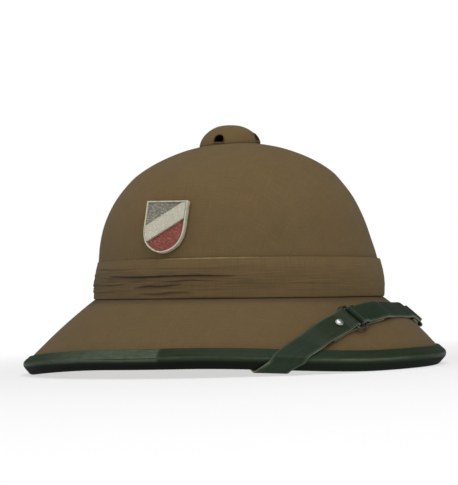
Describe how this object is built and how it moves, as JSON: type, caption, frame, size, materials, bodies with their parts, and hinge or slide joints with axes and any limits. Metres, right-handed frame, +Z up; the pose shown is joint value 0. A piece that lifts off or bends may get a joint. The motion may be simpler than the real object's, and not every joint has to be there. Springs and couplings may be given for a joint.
{
  "type": "pith helmet",
  "caption": "Khaki canvas sun helmet with a round crown, sloping brim, pleated band, green leather rim binding and chin strap, vent cap and striped shield badge.",
  "frame": {"origin": "centre of the bounding box on the floor that the rim stands on", "axes": "+X to the front of the helmet, +Y to the wearer's left, +Z up"},
  "size_m": [0.3396, 0.2724, 0.1907],
  "materials": {
    "canvas": "matte khaki canvas over cork",
    "leather": "smooth dark green, half gloss",
    "steel": "worn bright steel",
    "badge_metal": "pale worn metal",
    "enamel_grey": "worn grey paint",
    "enamel_ivory": "worn ivory paint",
    "enamel_red": "worn red paint"
  },
  "bodies": {
    "root": {"crown": "canvas", "brim": "canvas", "hat_band": "canvas", "vent_cap": "canvas", "rim_binding": "leather", "strap_right": "leather", "strap_left": "leather", "strap_front": "leather", "loop_right": "steel", "loop_left": "steel", "rivet_right": "steel", "rivet_left": "steel", "anchor_right": "steel", "anchor_left": "steel", "shield_badge": "badge_metal", "badge_grey": "enamel_grey", "badge_ivory": "enamel_ivory", "badge_red": "enamel_red"}
  },
  "joints": []
}
